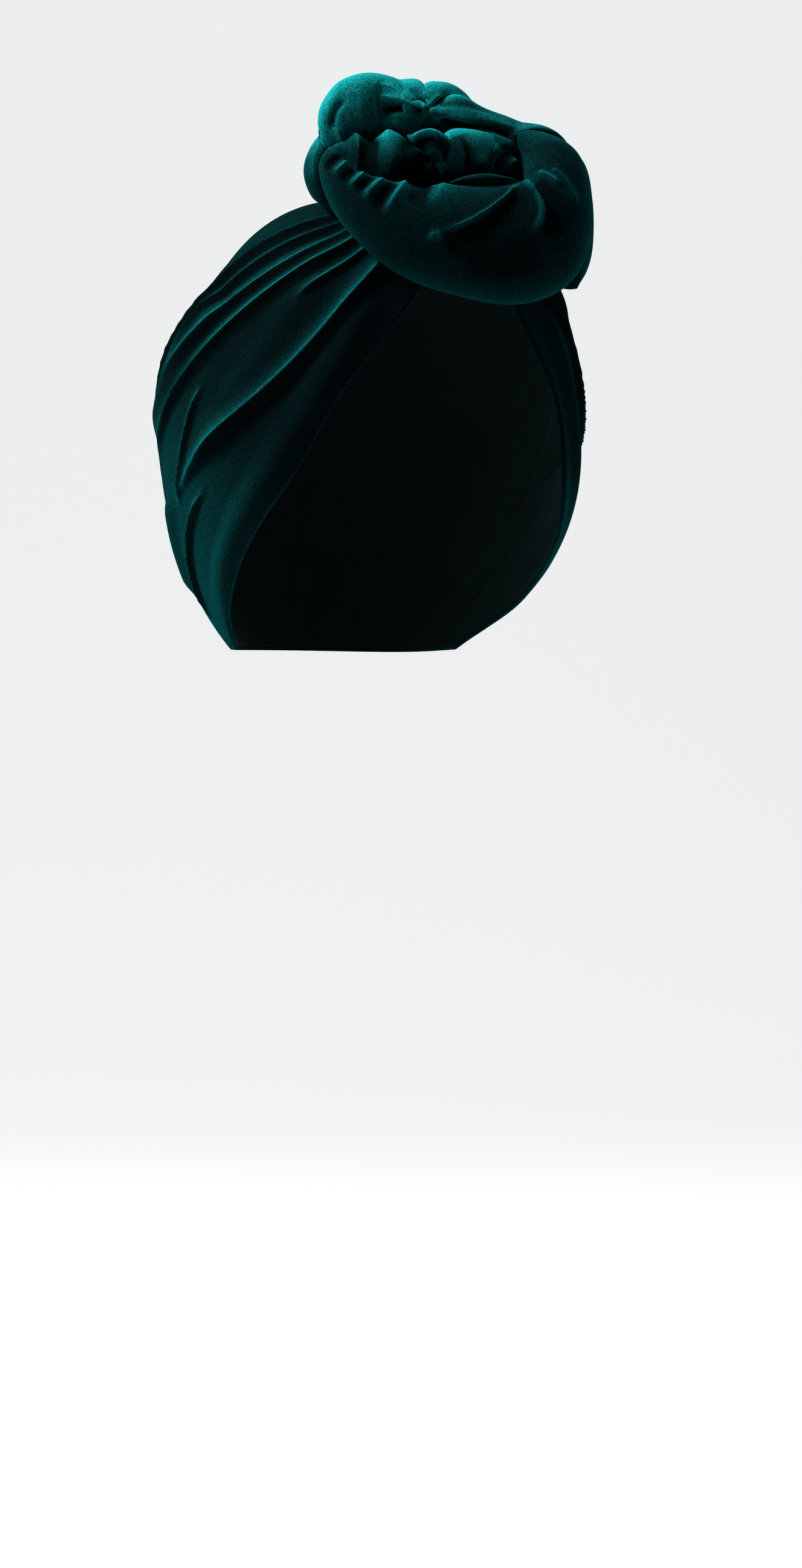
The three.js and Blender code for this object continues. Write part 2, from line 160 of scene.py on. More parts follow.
# Rolls of the knot: sections from an inner edge (iu, iv) to an outer edge (ou, ov) of the roll,
# with w the section's middle and deep its half depth. A later roll lies against the earlier ones.
SECTION = ("iu", "iv", "ou", "ov", "w", "deep")
ROLLS = {
    "outer_roll": table(SECTION, [
        (-50, 15, -52, 14, 7, 2), (-46, 10, -55, 4, 11, 9), (-40, 5, -51, -9, 15, 14),
        (-31, 2, -42, -21, 18, 17), (-18, -1, -24, -36, 20, 20), (-2, -1, 0, -45, 21, 21),
        (13, -1, 22, -48, 20, 21), (23, 0, 41, -42, 17, 20), (25, 1, 51, -25, 13, 18),
        (25, 5, 52, -5, 9, 16), (24, 10, 49, 9, 4, 14), (21, 14, 41, 16, 0, 10),
        (16, 16, 26, 19, -4, 6), (10, 18, 12, 20, -6, 1),
    ]),
    "lip_fold": table(SECTION, [
        (-4, -1, -4, 0, 22, 0.5), (2, -1, 2, 2, 24, 3), (11, -1, 11, 3, 24, 3.5),
        (18, 0, 18, 2, 22, 3), (24, 0, 24, 1, 17, 0.5),
    ]),
    "inner_roll_right": table(SECTION, [
        (-6, 13, -8, 20, -4, 3), (-2, 0, -2, 24, -3, 16), (8, -3, 9, 23, -2, 20),
        (17, -2, 19, 19, 0, 18), (22, -1, 25, 13, 3, 15), (25, 1, 28, 8, 7, 8),
    ]),
    "inner_roll_left": table(SECTION, [
        (-50, 12, -50, 16, 0, 3), (-45, 0, -43, 22, -4, 15), (-34, -6, -34, 20, -5, 19),
        (-25, -8, -27, 22, -5, 21), (-16, -8, -18, 18, -5, 20), (-9, -5, -10, 12, -4, 15),
        (-4, 0, -4, 5, -3, 4),
    ]),
    "centre_fold": table(SECTION, [
        (-20, 18, -19, 20, 0, 2), (-14, 14, -16, 22, 3, 8), (-8, 8, -10, 23, 3, 11),
        (-4, 5, -4, 18, 2, 10), (-2, 3, -1, 9, -1, 3),
    ]),
    "rear_roll": table(SECTION, [
        (-12, 30, -11, 32, -1, 1), (-5, 24, -2, 38, -7, 9), (4, 14, 6, 35, -12, 15),
        (12, 2, 22, 29, -15, 19), (17, -9, 37, 23, -15, 20), (22, -16, 50, 12, -14, 19),
        (28, -22, 53, -3, -11, 16), (35, -28, 53, -17, -7, 13), (40, -34, 51, -30, -1, 8),
        (41, -40, 47, -40, 4, 1),
    ]),
    "back_loop": table(SECTION, [
        (-12, 31, -13, 33, -1, 1), (-17, 25, -21, 39, -7, 9), (-24, 17, -28, 46, -13, 16),
        (-32, 12, -37, 48, -16, 20), (-41, 10, -47, 45, -17, 20), (-48, 13, -53, 38, -18, 16),
        (-53, 20, -56, 30, -19, 6),
    ]),
    "crest_fold_left": table(SECTION, [
        (-14, 22, -10, 22, -9, 2), (-17, 28, -9, 28, -9, 4), (-21, 35, -11, 35, -9, 6),
        (-27, 38, -13, 39, -15, 7), (-33, 34, -13, 35, -26, 10), (-36, 21, -12, 22, -34, 12),
        (-35, 6, -11, 6, -37, 11), (-28, -6, -13, -7, -37, 4),
    ]),
    "crest_fold_right": table(SECTION, [
        (-12, 32, -11, 32, -2, 1), (-15, 36, -5, 35, -7, 5), (-16, 38, -1, 37, -14, 7),
        (-15, 34, 7, 32, -25, 10), (-12, 21, 14, 18, -32, 12), (-11, 6, 15, 4, -35, 11),
        (-9, -6, 8, -8, -35, 4),
    ]),
    "side_lobe": table(SECTION, [
        (-52, 25, -55, 25, -18, 2), (-49, 19, -60, 18, -20, 12), (-46, 11, -62, 11, -22, 16),
        (-44, 3, -61, 4, -24, 17), (-42, -5, -57, -2, -26, 15), (-38, -12, -50, -9, -26, 12),
        (-34, -16, -42, -15, -24, 4),
    ]),
}
FINE = {"outer_roll": (380, 250), "rear_roll": (260, 150), "lip_fold": (120, 40)}
USUAL_GRID = (190, 120)

# Folds pressed into the rolls' fronts, each a curve through three places (u, v) in the knot's
# plane. A height over 0 is a ridge and under 0 a groove; width is its half width.
FOLD = ("u1", "v1", "u2", "v2", "u3", "v3", "height", "width")
FOLDS = {name: records(FOLD, rows) for name, rows in {
    "outer_roll": [
        (23, -2, 8, -15, -9, -22, 2.4, 0.8), (24, -6, 9, -20, -8, -27, -1.4, 4.0),
        (-7, -22, -10, -23, -13, -22, 1.8, 1.6), (26, 0, 32, -12, 27, -23, 2.4, 0.8),
        (29, -2, 37, -12, 32, -24, -1.0, 3.6), (31, 3, 36, 1, 40, -3, 1.8, 1.2),
        (36, 5, 43, -2, 46, -12, 1.0, 1.2), (-21, -1, -25, -7, -30, -16, 2.2, 2.2),
        (-26, -1, -29, -6, -34, -13, -1.6, 2.6), (-30, 0, -34, -4, -38, -9, 2.0, 1.8),
        (-35, 2, -37, -1, -41, -6, -1.4, 2.0), (-38, 3, -40, 0, -44, -4, 1.8, 1.6),
        (-42, 5, -44, 2, -47, -1, -1.2, 1.8), (-45, 8, -47, 5, -50, 2, 1.6, 1.4),
        (-47, 11, -50, 8, -53, 4, -1.0, 1.4), (-14, 0, -16, -5, -19, -12, -1.4, 3.2),
        (-6, 0, -8, -6, -12, -12, 1.2, 3.0), (4, -30, 18, -34, 34, -28, -0.8, 5.0),
    ],
    "inner_roll_right": [
        (23, 2, 14, 6, 7, 13, 1.4, 2.6), (23, 3, 17, 10, 14, 18, 1.2, 2.2),
        (24, 4, 22, 10, 20, 16, 1.0, 2.0), (21, 1, 12, 2, 3, 5, -1.4, 3.0),
        (0, 20, 3, 12, 2, 4, -1.4, 3.0),
    ],
    "inner_roll_left": [
        (-42, 22, -44, 12, -41, 2, 1.4, 4.4), (-34, 20, -37, 10, -36, 0, -2.2, 4.0),
        (-28, 23, -26, 13, -17, 7, 2.0, 5.0), (-20, 19, -22, 10, -24, 0, -1.6, 3.0),
        (-13, 14, -16, 7, -20, 0, -1.8, 3.0),
    ],
    "centre_fold": [
        (-18, 18, -11, 21, -4, 15, 1.2, 1.3), (-16, 15, -10, 17, -4, 10, -1.3, 1.6),
        (-14, 12, -9, 13, -4, 6, 1.0, 1.4),
    ],
    "rear_roll": [
        (-8, 27, 20, 20, 46, 10, -3.0, 1.6), (-6, 30, 20, 24, 47, 14, 1.2, 2.0),
        (-8, 33, 4, 33, 20, 28, -1.0, 2.0), (-9, 31, 0, 28, 10, 24, 1.2, 1.4),
    ],
    "back_loop": [
        (-13, 31, -22, 38, -36, 42, 1.8, 1.8), (-14, 32, -20, 37, -28, 41, -1.8, 1.6),
        (-13, 31, -24, 35, -34, 36, 1.6, 1.5), (-14, 30, -24, 32, -34, 30, -3.4, 2.2),
        (-14, 27, -23, 26, -33, 27, 2.2, 1.3), (-46, 35, -50, 29, -50, 22, -1.8, 1.6),
        (-43, 16, -47, 20, -48, 26, 1.4, 2.0), (-30, 18, -38, 20, -44, 17, -1.2, 2.4),
    ],
    "crest_fold_left": [
        (-12, 31, -13, 35, -14, 41, 1.2, 1.0), (-13, 33, -17, 37, -20, 40, -1.0, 1.4),
    ],
    "crest_fold_right": [(-12, 31, -10, 35, -6, 38, 1.0, 1.2), (-9, 33, -4, 36, 0, 36, -1.0, 1.4)],
    "side_lobe": [(-54, 22, -57, 12, -56, 2, 1.2, 2.0), (-50, 20, -52, 10, -51, 0, -1.4, 2.2)],
    "lip_fold": [],
}.items()}
# Roundness of a roll's section: 1 is an ellipse, and less is squarer, as where two folds are
# pressed together.
ROUNDNESS = {"crest_fold_left": 0.7, "crest_fold_right": 0.7, "lip_fold": 1.2}
# How much lower than on the other rolls the painted light reaches, in millimetres.
PAINTED_LIGHT_LIFT = {"inner_roll_right": 7, "centre_fold": -3, "inner_roll_left": -3}
FOLD_SAMPLES = 60
CREASE_SHARPNESS = 1.25
FOLD_FADE = {"start": 8, "at_start": 0.3, "end": 3}

# ------------------------------------------------------------------ whole-array helpers


def smooth(x):
    """0 below 0, 1 above 1, and 3x^2 - 2x^3 between."""
    x = np.clip(x, 0, 1)
    return x * x * (3 - 2 * x)


def unit(vectors):
    """Each vector divided by its length."""
    length = np.linalg.norm(vectors, axis=-1, keepdims=True)
    return vectors / np.maximum(length, 1e-9)


def curve_through(points, t):
    """Centripetal Catmull-Rom curve: a cubic between each two points, whose end slopes come from
    the neighbours at distances to the power one half. t from 0 to 1 passes the points evenly."""
    ends = (2 * points[0] - points[1], 2 * points[-1] - points[-2])
    p = np.vstack([ends[0], points, ends[1]])
    place = t * (len(points) - 1)
    i = np.minimum(place.astype(int), len(points) - 2)
    x = (place - i)[:, None]
    p0, p1, p2, p3 = (p[i + k] for k in range(4))
    d0, d1, d2 = (np.sqrt(np.linalg.norm(b - a, axis=1, keepdims=True)) for a, b in
                  ((p0, p1), (p1, p2), (p2, p3)))
    slope1 = d1 * ((p1 - p0) / d0 - (p2 - p0) / (d0 + d1) + (p2 - p1) / d1)
    slope2 = d1 * ((p2 - p1) / d1 - (p3 - p1) / (d1 + d2) + (p3 - p2) / d2)
    return (
        p1 * (1 - 3 * x**2 + 2 * x**3) + p2 * (3 * x**2 - 2 * x**3)
        + slope1 * (x - 2 * x**2 + x**3) + slope2 * (x**3 - x**2)
    )


WAVE = {"shares": (0.5, 0.3, 0.2), "sizes": (0.7, 1.3), "across": 1.4}


def soft_waves(points, size, seed):
    """Low uneven swelling between about -1 and 1: three sine waves of about that size in
    millimetres, along seeded directions, multiplied and added."""
    rng = np.random.default_rng(seed)
    total = np.zeros(len(points))
    for share in WAVE["shares"]:
        direction = unit(rng.normal(size=3))
        across = unit(rng.normal(size=3))
        size_now = size * rng.uniform(*WAVE["sizes"])
        phase = rng.uniform(0, 2 * math.pi)
        total += share * np.sin(points @ direction * 2 * math.pi / size_now + phase) * np.cos(
            points @ across * 2 * math.pi / (WAVE["across"] * size_now))
    return total


# ------------------------------------------------------------------ head and cap surface

FAN_AXIS = unit(FAN_TOP - FAN_CENTRE)
FAN_CROWN = np.array([0.0, FAN_AXIS[2], -FAN_AXIS[1]])
FAN_SIDE = np.array([-1.0, 0.0, 0.0])


def egg_at(points):
    """Offsets from the egg's middle, with its reach along each axis and its roundness there."""
    q = points - EGG_MIDDLE
    forward = smooth(0.5 - q[:, 1] / DOME_BLEND)
    depth = np.where(q[:, 1] < 0, HEAD["front"], HEAD["back"])
    height = np.where(q[:, 2] > 0, HEAD["top"], HEAD["bottom"])
    dome = DOME["back"] + (DOME["front"] - DOME["back"]) * forward
    return q, depth, height, np.where(q[:, 2] > 0, dome, DOME["below"])


def egg_level(points):
    """(ring^p + |z / height|^p)^(1/p): under 1 inside the egg, 1 on it and over 1 outside."""
    q, depth, height, power = egg_at(points)
    ring = np.hypot(q[:, 0] / HEAD["side"], q[:, 1] / depth)
    return (ring**power + np.abs(q[:, 2] / height) ** power) ** (1 / power)


def egg_normal(points):
    """The slope of egg_level, one unit long."""
    q, depth, height, power = egg_at(points)
    ring = np.maximum(np.hypot(q[:, 0] / HEAD["side"], q[:, 1] / depth), 1e-6)
    flat = ring ** (power - 2)
    steep = np.abs(q[:, 2] / height) ** (power - 1) / height
    return unit(np.column_stack([
        flat * q[:, 0] / HEAD["side"] ** 2, flat * q[:, 1] / depth**2, np.sign(q[:, 2]) * steep]))


def egg_point(reach, fan):
    """The egg's surface at a reach from the knot and a fan angle, found by halving along the ray."""
    reach, fan = np.radians(reach)[:, None], np.radians(fan)[:, None]
    ray = FAN_AXIS * np.cos(reach) + np.sin(reach) * (FAN_CROWN * np.cos(fan) + FAN_SIDE * np.sin(fan))
    inside = np.zeros(len(ray))
    outside = np.full(len(ray), 2.0 * HEAD["bottom"])
    for _ in range(30):
        middle = (inside + outside) / 2
        under = egg_level(FAN_CENTRE + ray * middle[:, None]) < 1
        inside = np.where(under, middle, inside)
        outside = np.where(under, outside, middle)
    return FAN_CENTRE + ray * inside[:, None]


def pleating(reach, fan, radius):
    """The sum of all pleats: each follows a parabola of fan angle along its reach, falls off to the
    side as a power from a sharp crest or as a cosine squared, and fades in and out at its ends.
    Also the ridges' painted light: painted highlight on the crests and behind them, painted shade in
    front."""
    angle = np.where(fan < 0, np.abs(fan) - LEFT_PLEAT_SHIFT, fan)
    total = np.zeros(len(reach))
    ridge_painted_light = np.zeros(len(reach))
    for pleat in PLEATS:
        along = np.clip((reach - pleat["start"]) / (pleat["stop"] - pleat["start"]), 0, 1)
        line = (
            pleat["a"] * (1 - along) * (1 - 2 * along)
            + pleat["b"] * 4 * along * (1 - along) + pleat["c"] * along * (2 * along - 1)
        )
        across = np.radians(angle - line) * radius
        share = np.clip(np.abs(across) / np.where(across > 0, pleat["front"], pleat["back"]), 0, 1)
        crest = (1 - share) ** RIDGE_SHARPNESS
        round_top = np.cos(share * math.pi / 2) ** 2
        fade = smooth(along * PLEAT_ENDS_FADE) * smooth((1 - along) * PLEAT_ENDS_FADE)
        if pleat["shape"] == RIDGE:
            total += pleat["height"] * crest * fade
            # painted highlight on and behind the crest, painted shade on the front flank
            behind = np.where(across < 0, RIDGE_PAINTED_LIGHT["behind"] * (1 - share), 0)
            front = np.where(across > 0, RIDGE_PAINTED_LIGHT["front"] * 4 * share * (1 - share), 0)
            ridge_painted_light += fade * (RIDGE_PAINTED_LIGHT["crest"] * crest**4 + behind - front)
        else:
            total += pleat["height"] * round_top * fade
    return total, ridge_painted_light


def cap_surface(reach, fan, offset, fold_share):
    """The egg's point moved out along its normal by an offset, the gather's rise and the pleats."""
    base = egg_point(reach, fan)
    radius = np.linalg.norm(base - FAN_CENTRE, axis=1) * np.sin(np.radians(reach))
    rise = GATHER["rise"] * smooth(1 - reach / GATHER["reach"])
    height = offset + rise + fold_share * pleating(reach, fan, radius)[0]
    return base + egg_normal(base) * height[:, None]


def face_edge(reach, side):
    """The face edge's fan angle, as the mean of straight lines through the table at five reaches
    nearby, so that it turns gently."""
    near = reach[:, None] + np.linspace(-EDGE_EASE, EDGE_EASE, 5)
    return np.interp(near, FACE_EDGE["reach"], FACE_EDGE[side]).mean(axis=1)


# ------------------------------------------------------------------ mesh makers


def make_piece(name, points, faces, materials, slots=None, pile_and_painted_light=None):
    """A smooth-shaded mesh from points in millimetres and arrays of faces, one array for each
    number of corners. slots gives each face's material, and the last argument gives the velvet's
    painted light, painted sheen and painted shade, at each point."""
    mesh = bpy.data.meshes.new(name)
    corners = np.concatenate([f.ravel() for f in faces]).astype(np.int32)
    counts = np.concatenate([np.full(len(f), f.shape[1]) for f in faces])
    starts = (np.cumsum(counts) - counts).astype(np.int32)
    mesh.vertices.add(len(points))
    mesh.vertices.foreach_set("co", (points * MM).astype(np.float32).ravel())
    mesh.loops.add(len(corners))
    mesh.loops.foreach_set("vertex_index", corners)
    mesh.polygons.add(len(counts))
    mesh.polygons.foreach_set("loop_start", starts)
    mesh.update(calc_edges=True)
    for material in materials:
        mesh.materials.append(material)
    if slots is not None:
        mesh.polygons.foreach_set("material_index", slots.astype(np.int32))
    # the painted light is stored as a point attribute for the velvet to read
    if pile_and_painted_light is not None:
        attribute = mesh.attributes.new("painted_light_amount", "FLOAT", "POINT")
        attribute.data.foreach_set("value", pile_and_painted_light.astype(np.float32))
    mesh.shade_smooth()
    piece = bpy.data.objects.new(name, mesh)
    bpy.context.scene.collection.objects.link(piece)
    return piece


def grid_quads(at, turned=False):
    """Quads between neighbouring places of a grid of vertex numbers."""
    quads = np.stack([at[:-1, :-1], at[:-1, 1:], at[1:, 1:], at[1:, :-1]], axis=-1).reshape(-1, 4)
    return quads[:, ::-1] if turned else quads


def make_cap(velvet, backing):
    """The pleated cap as a closed shell. Across, the grid runs from the right face edge to the
    left, closer on the wearer's right; along, from the gather's point to the nape. The outer sheet
    carries whole pleats and the inner one half, and a round hem joins them."""
    lines, rows = CAP_GRID["lines"], CAP_GRID["rows"]
    line = np.linspace(0, 1, lines + 1)
    side = 1 - 2 * (line - CAP_GRID["closer_on_right"] * np.sin(math.pi * line) ** 2)
    row = np.arange(1, rows + 1) / rows
    side_grid, row_grid = np.meshgrid(side, row)
    reach = (row_grid * (NAPE_REACH - NAPE_CORNER * side_grid**4)).ravel()
    side_of = side_grid.ravel()
    fan = side_of * np.where(side_of > 0, face_edge(reach, "right"), face_edge(reach, "left"))
    tip = (np.zeros(1), np.zeros(1))
    outer = np.vstack([cap_surface(*tip, CAP_WALL, 0), cap_surface(reach, fan, CAP_WALL, 1)])
    inner = np.vstack([cap_surface(*tip, 0, 0), cap_surface(reach, fan, 0, FOLD_SHOWING_INSIDE)])
    at = 1 + np.arange(rows * (lines + 1)).reshape(rows, lines + 1)
    under = at + len(outer)
    edge = np.concatenate([at[:, 0], at[-1, 1:], at[-2::-1, -1]])
    beyond = hem_outward(outer, at)
    hem_points = (outer[edge] + inner[edge]) / 2 + beyond * (CAP_WALL * HEM_ROUND)
    hem = len(outer) + len(inner) + np.arange(len(edge))
    points = np.vstack([outer, inner, hem_points])
    edge_under = edge + len(outer)
    outer_rim = np.column_stack([edge[:-1], edge[1:], hem[1:], hem[:-1]])
    inner_rim = np.column_stack([hem[:-1], hem[1:], edge_under[1:], edge_under[:-1]])
    fan_out = np.column_stack([np.zeros(lines, int), at[0, 1:], at[0, :-1]])
    fan_in = np.column_stack([np.full(lines, len(outer)), under[0, :-1], under[0, 1:]])
    tip_rim = np.array([
        [0, edge[0], hem[0]], [0, hem[0], len(outer)], [len(outer), hem[0], edge_under[0]],
        [0, hem[-1], edge[-1]], [0, len(outer), hem[-1]], [len(outer), edge_under[-1], hem[-1]],
    ])
    quads = [grid_quads(at), grid_quads(under, True), outer_rim, inner_rim]
    triangles = [fan_out, fan_in, tip_rim]
    faces = [np.vstack(quads), np.vstack(triangles)]
    is_inner = [
        np.concatenate([np.full(len(q), k) for q, k in zip(quads, (0, 1, 0, 0))]),
        np.concatenate([np.full(len(f), k) for f, k in zip(triangles, (0, 1, 0))]),
    ]
    return make_piece(
        "cap_velvet", points, faces, [velvet, backing], np.concatenate(is_inner), painted_light_on_cap(points))


def painted_light_on_cap(points):
    """The cap's painted light: a little all over, more low down at the sides, and the ridges'
    share of painted highlight and painted shade."""
    reach, fan, far = fan_place(points)
    low = smooth((reach - CAP_PAINTED_LIGHT["reach"]) / CAP_PAINTED_LIGHT["reach_fade"])
    aside = smooth((np.abs(fan) - CAP_PAINTED_LIGHT["fan"]) / CAP_PAINTED_LIGHT["fan_fade"])
    ridge_painted_light = pleating(reach, fan, far * np.sin(np.radians(reach)))[1]
    return np.maximum(CAP_PAINTED_LIGHT["least"] + CAP_PAINTED_LIGHT["low"] * low * aside + ridge_painted_light, 0)


def hem_outward(outer, at):
    """Unit directions out of the sheet along its edge: from the next line in to the edge line."""
    right = outer[at[:, 0]] - outer[at[:, 1]]
    nape = outer[at[-1, 1:]] - outer[at[-2, 1:]]
    left = outer[at[-2::-1, -1]] - outer[at[-2::-1, -2]]
    return unit(np.vstack([right, nape, left]))


def knot_places(u, v, w):
    """Points of the knot's plane in the model's frame."""
    return KNOT_MIDDLE + np.outer(u, KNOT_U) + np.outer(v, KNOT_V) + np.outer(w, KNOT_W)


def roll_frame(rows, rings):
    """Along a roll: the sections' middles, their half widths and half depths as vectors, and
    the direction of the run. The depth is square to the run and the width."""
    t = np.linspace(0, 1, rings)
    inner = curve_through(knot_places(rows["iu"], rows["iv"], rows["w"]), t)
    outer = curve_through(knot_places(rows["ou"], rows["ov"], rows["w"]), t)
    order = np.arange(len(rows["deep"]), dtype=float)
    deep = curve_through(np.column_stack([rows["deep"], order, 0 * order]), t)[:, :1]
    middle = (inner + outer) / 2
    half = (outer - inner) / 2
    run = unit(np.gradient(middle, axis=0))
    depth = unit(np.cross(run, half)) * deep
    return middle, half, depth, run


def fold_height(name, points):
    """The folds' heights at points: each fold is a bell across its distance in the knot's plane,
    sharper on a ridge than in a groove, and tapered to nothing at its far end."""
    place = np.column_stack([(points - KNOT_MIDDLE) @ KNOT_U, (points - KNOT_MIDDLE) @ KNOT_V])
    t = np.linspace(0, 1, FOLD_SAMPLES)[:, None]
    total = np.zeros(len(points))
    for fold in FOLDS[name]:
        a, b, c = (np.array([fold[f"u{k}"], fold[f"v{k}"]], float) for k in (1, 2, 3))
        line = a * (1 - t) * (1 - 2 * t) + b * 4 * t * (1 - t) + c * t * (2 * t - 1)
        gap = np.linalg.norm(place[:, None] - line[None], axis=2)
        nearest = gap.argmin(axis=1)
        distance = gap[np.arange(len(gap)), nearest]
        along = nearest / (FOLD_SAMPLES - 1)
        power = CREASE_SHARPNESS if fold["height"] > 0 else 2
        profile = np.exp(-np.abs(distance / fold["width"]) ** power)
        fade = smooth(along * FOLD_FADE["start"] + FOLD_FADE["at_start"])
        total += fold["height"] * profile * fade * smooth((1 - along) * FOLD_FADE["end"])
    return total


def fan_place(points):
    """Reach and fan angle of points, and how far they are from the fan's centre."""
    ray = points - FAN_CENTRE
    far = np.linalg.norm(ray, axis=1)
    reach = np.degrees(np.arccos(np.clip(ray @ FAN_AXIS / far, -1, 1)))
    return reach, np.degrees(np.arctan2(ray @ FAN_SIDE, ray @ FAN_CROWN)), far


def lifted_off_cap(points):
    """Points under the cap's outer cloth are moved out to it along the fan's rays."""
    ray = points - FAN_CENTRE
    reach, fan, far = fan_place(points)
    needed = np.linalg.norm(cap_surface(reach, fan, CAP_WALL, 1) - FAN_CENTRE, axis=1) + CLEARANCE
    return FAN_CENTRE + ray * (np.maximum(far, needed) / far)[:, None]


def lifted_off_roll(points, neighbour):
    """Points inside a neighbouring roll are moved out, away from the middle of the section that
    passes nearest to them, to its ellipse."""
    middle, half, depth, run = neighbour
    wide = np.linalg.norm(half, axis=1) + CLEARANCE
    deep = np.linalg.norm(depth, axis=1) + CLEARANCE
    offset = points[:, None] - middle[None]
    slant = np.abs(np.einsum("vkc,kc->vk", offset, run))
    k = (slant + SECTION_NEARNESS * np.linalg.norm(offset, axis=2)).argmin(axis=1)
    near = offset[np.arange(len(points)), k]
    beside = (near * unit(half)[k]).sum(1) / wide[k]
    across = (near * unit(depth)[k]).sum(1) / deep[k]
    level = np.maximum(np.hypot(beside, across), LEAST_LEVEL)
    in_reach = slant[np.arange(len(points)), k] < SECTION_REACH
    push = np.where((level < 1) & in_reach, 1 / level - 1, 0)
    return points + push[:, None] * (
        unit(half)[k] * (beside * wide[k])[:, None] + unit(depth)[k] * (across * deep[k])[:, None])


def eased(points, moved, rings, sides):
    """The moved points of a roll's grid, and those just around them, drawn several times towards
    the mean of their four neighbours."""
    grid = points.reshape(rings, sides, 3)
    share = moved.reshape(rings, sides, 1).astype(float)
    for _ in range(EASE["passes"]):
        share = np.maximum(share, EASE["spread"] * four_means(share))
        grid = grid + EASE["pull"] * share * (four_means(grid) - grid)
    return grid.reshape(-1, 3)


def four_means(grid):
    """The mean of each place's four neighbours: round the roll, and along it but for its ends."""
    before = np.concatenate([grid[:1], grid[:-1]])
    after = np.concatenate([grid[1:], grid[-1:]])
    return (before + after + np.roll(grid, 1, axis=1) + np.roll(grid, -1, axis=1)) / 4


def painted_light_on_knot(points):
    """The knot's painted light: it rises with v, and less so where u is more, so the upper left is
    painted light and the right painted shade.
    """
    u = (points - KNOT_MIDDLE) @ KNOT_U
    v = (points - KNOT_MIDDLE) @ KNOT_V
    upper = smooth((v - KNOT_PAINTED_LIGHT["v"]) / KNOT_PAINTED_LIGHT["v_rise"])
    right = smooth((u - KNOT_PAINTED_LIGHT["u"]) / KNOT_PAINTED_LIGHT["u_fade"])
    return KNOT_PAINTED_LIGHT["least"] + KNOT_PAINTED_LIGHT["more"] * upper * (1 - KNOT_PAINTED_LIGHT["shade"] * right)


def make_roll(name, number, taken, velvet):
    """A padded roll: ellipses between its two edge curves, swollen a little unevenly, with its
    folds pressed in from the front, lying against the cap and the rolls before it."""
    rings, sides = FINE.get(name, USUAL_GRID)
    middle, half, depth, run = roll_frame(ROLLS[name], rings)
    angle = np.linspace(0, 2 * math.pi, sides, endpoint=False)
    power = ROUNDNESS.get(name, 1)
    cos, sin = np.cos(angle)[None, :, None], np.sin(angle)[None, :, None]
    aside = half[:, None] * np.sign(cos) * np.abs(cos) ** power
    skin = middle[:, None] + aside + depth[:, None] * np.sign(sin) * np.abs(sin) ** power
    wide = np.linalg.norm(half, axis=1)[:, None, None] + THINNEST
    deep = np.linalg.norm(depth, axis=1)[:, None, None] + THINNEST
    out = unit(unit(half)[:, None] * cos / wide + unit(depth)[:, None] * sin / deep)
    points = skin.reshape(-1, 3)
    out = out.reshape(-1, 3)
    pressed = smooth((out @ KNOT_W - FRONT["from"]) / FRONT["over"]) * fold_height(name, points)
    swell = np.minimum(1, np.repeat(deep.ravel(), sides) / SWELL["full_at"])
    height = pressed + SWELL["height"] * swell * soft_waves(points, SWELL["size"], number)
    points = points + out * height[:, None]
    free = points
    for neighbour in taken:
        points = lifted_off_roll(points, neighbour)
    moved = np.linalg.norm(points - free, axis=1) > EASE["moved_over"]
    points = eased(points, moved, rings, sides)
    points = lifted_off_cap(points)
    first = points[:sides].mean(axis=0) - run[0] * END_POINT
    last = points[-sides:].mean(axis=0) + run[-1] * END_POINT
    at = np.arange(rings * sides).reshape(rings, sides)
    around = np.column_stack([at, at[:, 0]])
    ends = (len(points), len(points) + 1)
    start_cap = np.column_stack([np.full(sides, ends[0]), around[0, 1:], around[0, :-1]])
    end_cap = np.column_stack([np.full(sides, ends[1]), around[-1, :-1], around[-1, 1:]])
    points = np.vstack([points, first, last])
    faces = [grid_quads(around), np.vstack([start_cap, end_cap])]
    # painted light on the knot, with painted highlight on ridges and painted shade in grooves
    pile_and_painted_light = painted_light_on_knot(points + KNOT_V * PAINTED_LIGHT_LIFT.get(name, 0))
    groove_painted_shade = 1 + FOLD_PAINTED_LIGHT["groove"] * np.minimum(pressed, 0)
    pile_and_painted_light[:-2] = np.maximum(pile_and_painted_light[:-2] * groove_painted_shade + FOLD_PAINTED_LIGHT["ridge"] * pressed, 0)
    piece = make_piece(f"{name}_velvet", points, faces, [velvet], pile_and_painted_light=pile_and_painted_light)
    return piece, roll_frame(ROLLS[name], 90)


# ------------------------------------------------------------------ materials


def linear(code):
    """An sRGB hex colour as linear RGBA."""
    part = np.array([int(code[i:i + 2], 16) / 255 for i in (1, 3, 5)])
    value = np.where(part <= 0.04045, part / 12.92, ((part + 0.055) / 1.055) ** 2.4)
    return (*value.tolist(), 1.0)


def add_node(tree, kind, settings=None, inputs=None, links=None):
    """A node of a kind, with its properties, its inputs' values, and links into its inputs."""
    node = tree.nodes.new(kind)
    for key, value in (settings or {}).items():
        setattr(node, key, value)
    for key, value in (inputs or {}).items():
        node.inputs[key].default_value = value
    for key, socket in (links or {}).items():
        tree.links.new(socket, node.inputs[key])
    return node


def new_material(name):
    """An empty material and its node tree."""
    material = bpy.data.materials.new(name)
    material.use_nodes = True
    material.node_tree.nodes.clear()
    return material, material.node_tree


